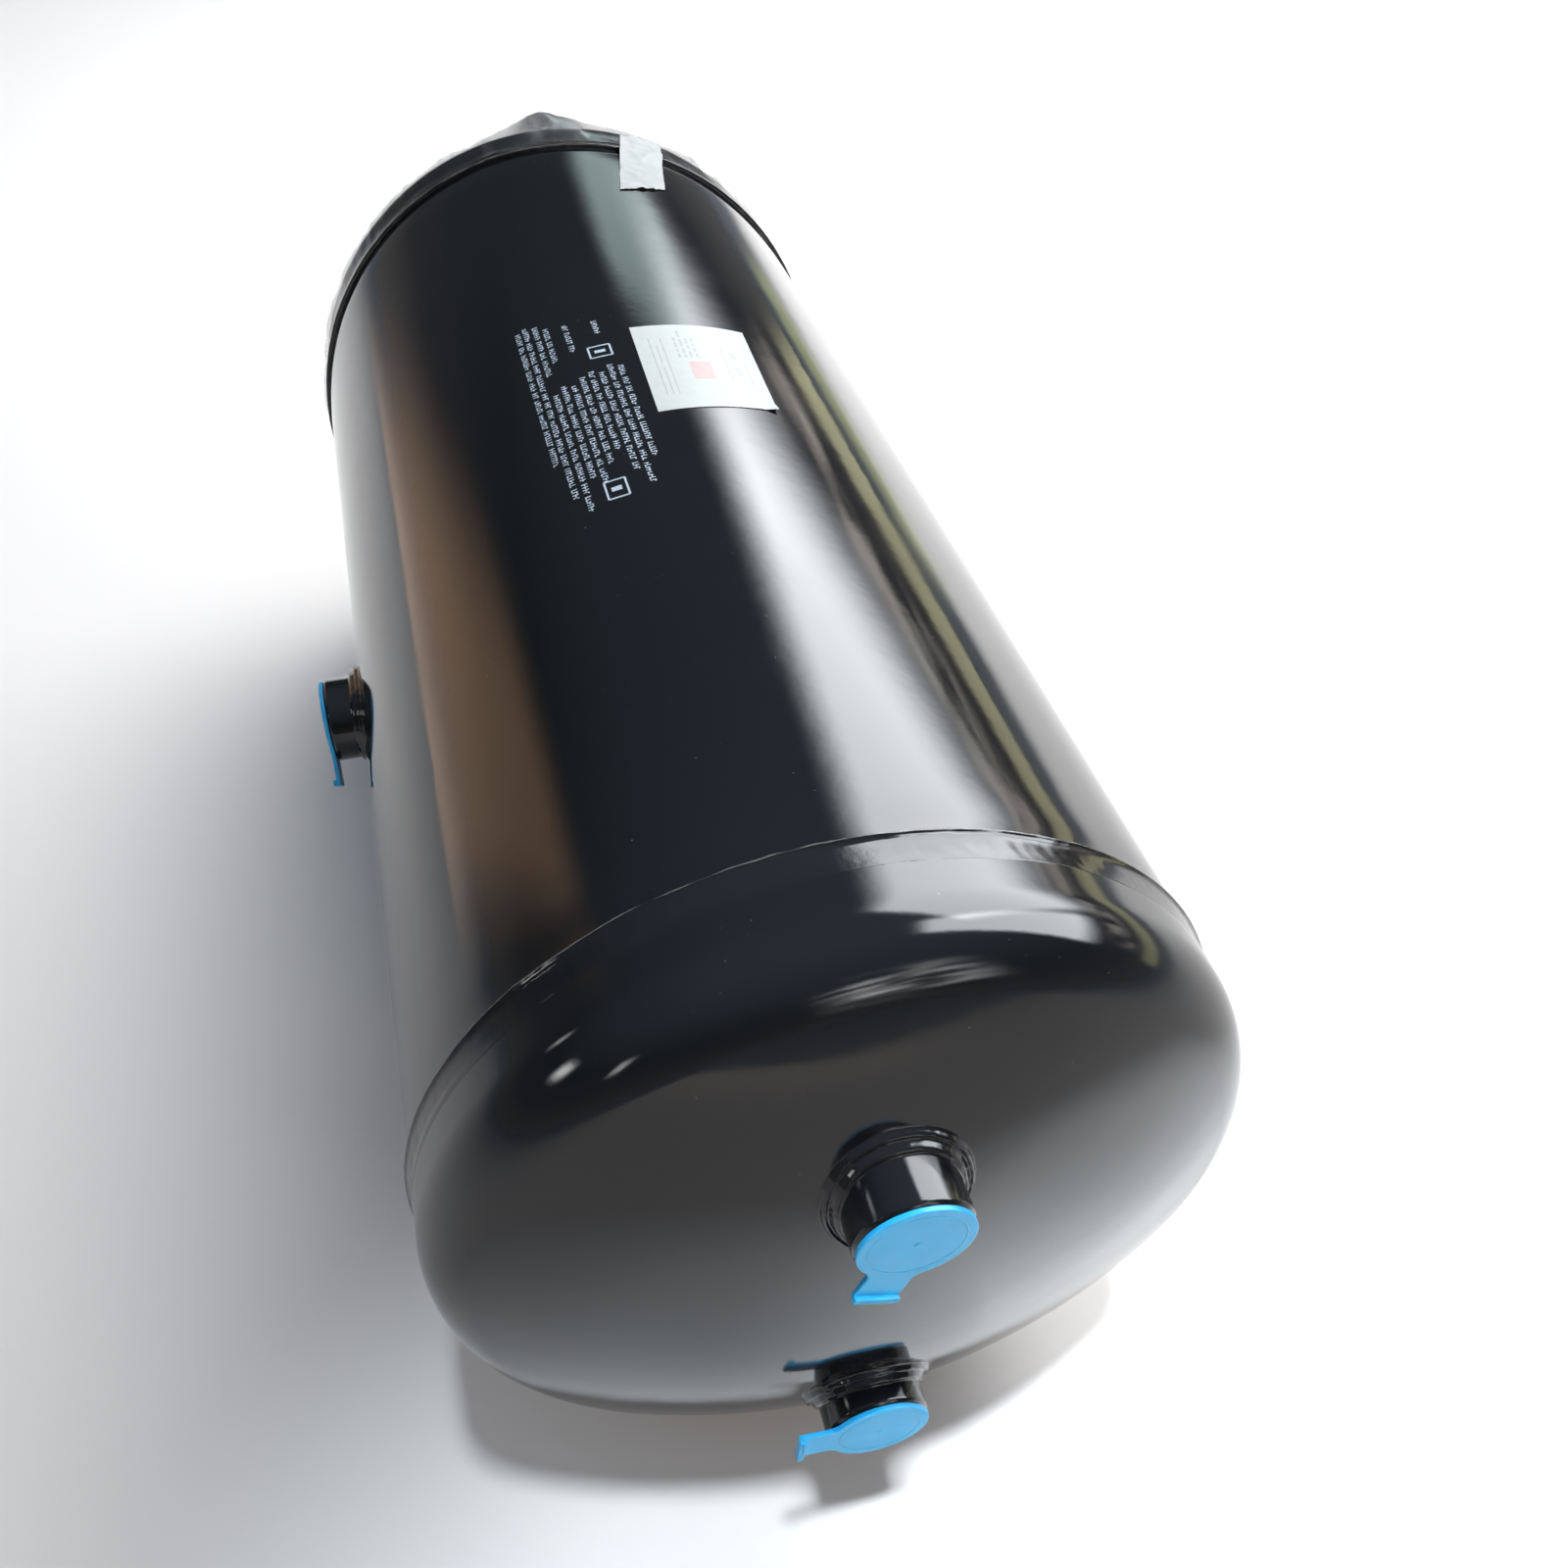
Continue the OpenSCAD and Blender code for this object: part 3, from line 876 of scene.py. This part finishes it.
def add_backdrop():
    """A plain pale dome, seen by the camera alone.

    It comes in over the floor and thins out towards the tank.
    """
    level = FLOOR_Z * MM + 0.002
    steps = 96
    near = 0.8
    far = 2.6
    rings = [(near + (far - near) * i / 24, level) for i in range(25)]
    rings += [(8.9, level), (8.9, 4.0), (7.0, 7.0), (4.0, 8.6), (0.0, 9.2)]
    points, faces = lathe(rings, plain, steps)
    mesh = bpy.data.meshes.new("backdrop")
    mesh.from_pydata(points, [], faces)
    mesh.shade_smooth()
    look = Look("pale_backdrop", (0, 0, 0), 1.0)
    look.set("Specular IOR Level", 0.0)
    look.set("Emission Strength", 0.9)
    look.join(look.values("haze"), look.shader.inputs["Alpha"])
    white = look.ramp(look.grain(0.6, 3), [(0.3, (0.99, 0.99, 0.99)), (0.7, (1, 1, 1))])
    look.join(white, look.shader.inputs["Emission Color"])
    mesh.materials.append(look.material)
    backdrop = bpy.data.objects.new("backdrop", mesh)
    backdrop.visible_diffuse = False
    backdrop.visible_glossy = False
    backdrop.visible_transmission = False
    backdrop.visible_shadow = False
    bpy.context.collection.objects.link(backdrop)
    haze = []
    for r, z in rings:
        haze += [smooth(near, far, r) if z == level else 1.0] * steps
    add_values(backdrop, "haze", haze)


def add_lamp(light, location, mirrored=True, lights=True):
    lamp = bpy.data.objects.new(light.name, light)
    lamp.location = location
    lamp.visible_glossy = mirrored
    lamp.visible_diffuse = lights
    lamp.visible_camera = False
    bpy.context.collection.objects.link(lamp)
    return lamp


def area_light(name, wide, tall, radiance, color):
    light = bpy.data.lights.new(name, "AREA")
    light.shape = "RECTANGLE"
    light.size = wide
    light.size_y = tall
    light.energy = radiance * math.pi * light.size * light.size_y
    light.color = color
    return light


def panel(name, across, up, distance, radiance, color=(1, 1, 1), mirrored=True, lights=True):
    """A rectangular light that faces the tank.

    It covers a span of azimuth, counted from behind towards the right, and a span of elevation.
    """
    level = math.radians(sum(up) / 2)
    wide = 2 * distance * math.cos(level) * math.tan(math.radians(across[1] - across[0]) / 2)
    tall = 2 * distance * math.tan(math.radians(up[1] - up[0]) / 2)
    light = area_light(name, wide, tall, radiance, color)
    turn = math.radians(sum(across) / 2)
    way = Vector((math.sin(turn) * math.cos(level), math.cos(turn) * math.cos(level), math.sin(level)))
    lamp = add_lamp(light, way * distance, mirrored, lights)
    lamp.rotation_euler = way.to_track_quat("Z", "Y").to_euler()
    return light


def soften(light, fade, lean=(0.0, 0.0), streaks=None):
    """Fades a panel towards its left, right, lower and upper edges, given as shares of its size.

    The left and right edges can lean inwards, and streaks thin it out like cloud.
    """
    light.use_nodes = True
    nodes, links = light.node_tree.nodes, light.node_tree.links

    def math_node(operation, first, second):
        node = nodes.new("ShaderNodeMath")
        node.operation = operation
        for socket, value in zip(node.inputs, (first, second)):
            if isinstance(value, float):
                socket.default_value = value
            else:
                links.new(value, socket)
        return node.outputs["Value"]

    def edge(value, start, end):
        node = nodes.new("ShaderNodeMapRange")
        node.interpolation_type = "SMOOTHSTEP"
        node.inputs["From Min"].default_value = start
        node.inputs["From Max"].default_value = end
        links.new(value, node.inputs["Value"])
        return node.outputs["Result"]

    spot = nodes.new("ShaderNodeNewGeometry")
    split = nodes.new("ShaderNodeSeparateXYZ")
    links.new(spot.outputs["Parametric"], split.inputs["Vector"])
    along = math_node("SUBTRACT", 1.0, split.outputs["X"])
    upward = split.outputs["Y"]
    left = math_node("SUBTRACT", along, math_node("MULTIPLY", upward, lean[0]))
    right = math_node("ADD", along, math_node("MULTIPLY", upward, lean[1]))
    strength = math_node("MULTIPLY", edge(left, 0.0, fade[0]), edge(right, 1.0, 1.0 - fade[1]))
    strength = math_node("MULTIPLY", strength, edge(upward, 0.0, fade[2]))
    strength = math_node("MULTIPLY", strength, edge(upward, 1.0, 1.0 - fade[3]))
    strength = math_node("POWER", strength, 2.0)
    if streaks:
        mapping = nodes.new("ShaderNodeMapping")
        mapping.inputs["Scale"].default_value = streaks
        mapping.inputs["Rotation"].default_value = (0, 0, 0.12)
        clouds = nodes.new("ShaderNodeTexNoise")
        clouds.inputs["Scale"].default_value = 1.0
        clouds.inputs["Detail"].default_value = 3.0
        links.new(spot.outputs["Parametric"], mapping.inputs["Vector"])
        links.new(mapping.outputs["Vector"], clouds.inputs["Vector"])
        strength = math_node("MULTIPLY", strength, edge(clouds.outputs["Fac"], 0.38, 0.66))
    links.new(strength, nodes["Emission"].inputs["Strength"])


def wall(name, x, along, up, radiance, color):
    """A soft upright panel beside the tank, for its gloss alone."""
    light = area_light(name, along[1] - along[0], up[1] - up[0], radiance, color)
    lamp = add_lamp(light, (x, sum(along) / 2, sum(up) / 2), lights=False)
    lamp.rotation_euler = Vector((x, 0, 0)).to_track_quat("Z", "Y").to_euler()
    return light


def pool(name, place, height, angle, power, color):
    """A round pool of light on the floor."""
    light = bpy.data.lights.new(name, "SPOT")
    light.energy = power
    light.color = color
    light.spot_size = math.radians(angle)
    light.spot_blend = 0.35
    light.shadow_soft_size = 0.08
    add_lamp(light, (*place, height), mirrored=False)


POOL_BLUE = (0.82, 0.91, 1.0)
SKY_BLUE = (0.92, 0.96, 1.0)
LEFT_GAPS = (((221, 230), 5.0), ((249, 268), 9.0), ((285, 293), 3.5))


def add_lights():
    # Soft light for the pieces and the floor, not mirrored in the paint
    panel("key", (5, 75), (22, 60), 1.7, 7.6, (0.97, 0.98, 1.0), mirrored=False)
    panel("front_fill", (160, 200), (5, 30), 2.0, 3.2, (1.0, 0.86, 0.74), mirrored=False)
    pool("right_pool", (0.2, -0.37), 1.6, 13, 190, POOL_BLUE)
    pool("front_pool", (-0.02, -0.36), 1.6, 12, 110, POOL_BLUE)
    # Panels that show in the gloss alone
    sky = panel("sky", (1, 84), (9, 69), 7.0, 11.0, SKY_BLUE, lights=False)
    soften(sky, (0.18, 0.15, 0.35, 0.1), (0.39, 0.0))
    sky_right = panel("sky_right", (66, 112), (15, 69), 7.0, 11.0, SKY_BLUE, lights=False)
    soften(sky_right, (0.2, 0.15, 0.2, 0.14), (0.43, 0.0))
    rear_sky = panel("rear_sky", (6, 25), (11, 28), 7.2, 1.5, (0.8, 1.0, 1.0), lights=False)
    soften(rear_sky, (0.3, 0.3, 0.3, 0.3))
    trees = panel("trees", (27, 100), (6, 20), 7.2, 1.9, (1.0, 0.93, 0.82), lights=False)
    soften(trees, (0.08, 0.1, 0.3, 0.4), streaks=(9, 2.5, 1))
    low_right = panel("low_right", (28, 104), (-1, 7), 7.2, 1.3, (1.0, 0.98, 0.58), lights=False)
    soften(low_right, (0.08, 0.1, 0.1, 0.4))
    warm = wall("warm_wall", -0.47, (0.05, 1.35), (-0.03, 0.46), 0.9, (1.0, 0.61, 0.35))
    soften(warm, (0.15, 0.6, 0.02, 0.35), (0.0, 0.36))
    green = wall("green_edge", 0.9, (0.7, 1.9), (-0.12, 0.05), 0.55, (0.95, 1.0, 0.32))
    soften(green, (0.2, 0.2, 0.1, 0.4))
    cloud = panel("cloud_front", (135, 185), (3, 46), 4.0, 7.0, lights=False)
    soften(cloud, (0.4, 0.35, 0.4, 0.4), streaks=(2, 7, 1))
    for n, (across, radiance) in enumerate(LEFT_GAPS):
        gap = panel(f"left_gap_{n}", across, (15, 28), 4.0, radiance, lights=False)
        soften(gap, (0.45, 0.45, 0.45, 0.45))


# The studio's colour from the horizon up to the zenith
WORLD_STOPS = (
    (0.0, (0.2, 0.2, 0.2)),
    (0.07, (0.16, 0.16, 0.16)),
    (0.15, (0.09, 0.09, 0.1)),
    (0.36, (0.05, 0.07, 0.08)),
    (0.7, (0.2, 0.25, 0.33)),
    (1.0, (0.34, 0.4, 0.5)),
)


def add_world():
    world = bpy.data.worlds.new("studio")
    bpy.context.scene.world = world
    world.use_nodes = True
    nodes, links = world.node_tree.nodes, world.node_tree.links
    coords = nodes.new("ShaderNodeTexCoord")
    split = nodes.new("ShaderNodeSeparateXYZ")
    ramp = nodes.new("ShaderNodeValToRGB")
    fill_ramp(ramp, WORLD_STOPS)
    links.new(coords.outputs["Generated"], split.inputs["Vector"])
    links.new(split.outputs["Z"], ramp.inputs["Fac"])
    links.new(ramp.outputs["Color"], nodes["Background"].inputs["Color"])
    nodes["Background"].inputs["Strength"].default_value = 1.0


def add_camera():
    """The photo's camera, found by fitting the tank's outline, welds and caps."""
    tilt_down = 47.547
    turn = -13.823
    data = bpy.data.cameras.new("Camera")
    data.sensor_width = 36
    data.lens = 32.087
    data.shift_x = 0.03272
    data.shift_y = 0.06278
    data.clip_start = 0.01
    camera = bpy.data.objects.new("Camera", data)
    camera.location = (-0.08211, -0.44652, 0.36503)
    camera.rotation_euler = (math.radians(90 - tilt_down), 0, math.radians(turn))
    bpy.context.collection.objects.link(camera)
    bpy.context.scene.camera = camera


add_floor()
add_backdrop()
add_lights()
add_world()
add_camera()
bpy.context.scene.view_settings.view_transform = "Standard"
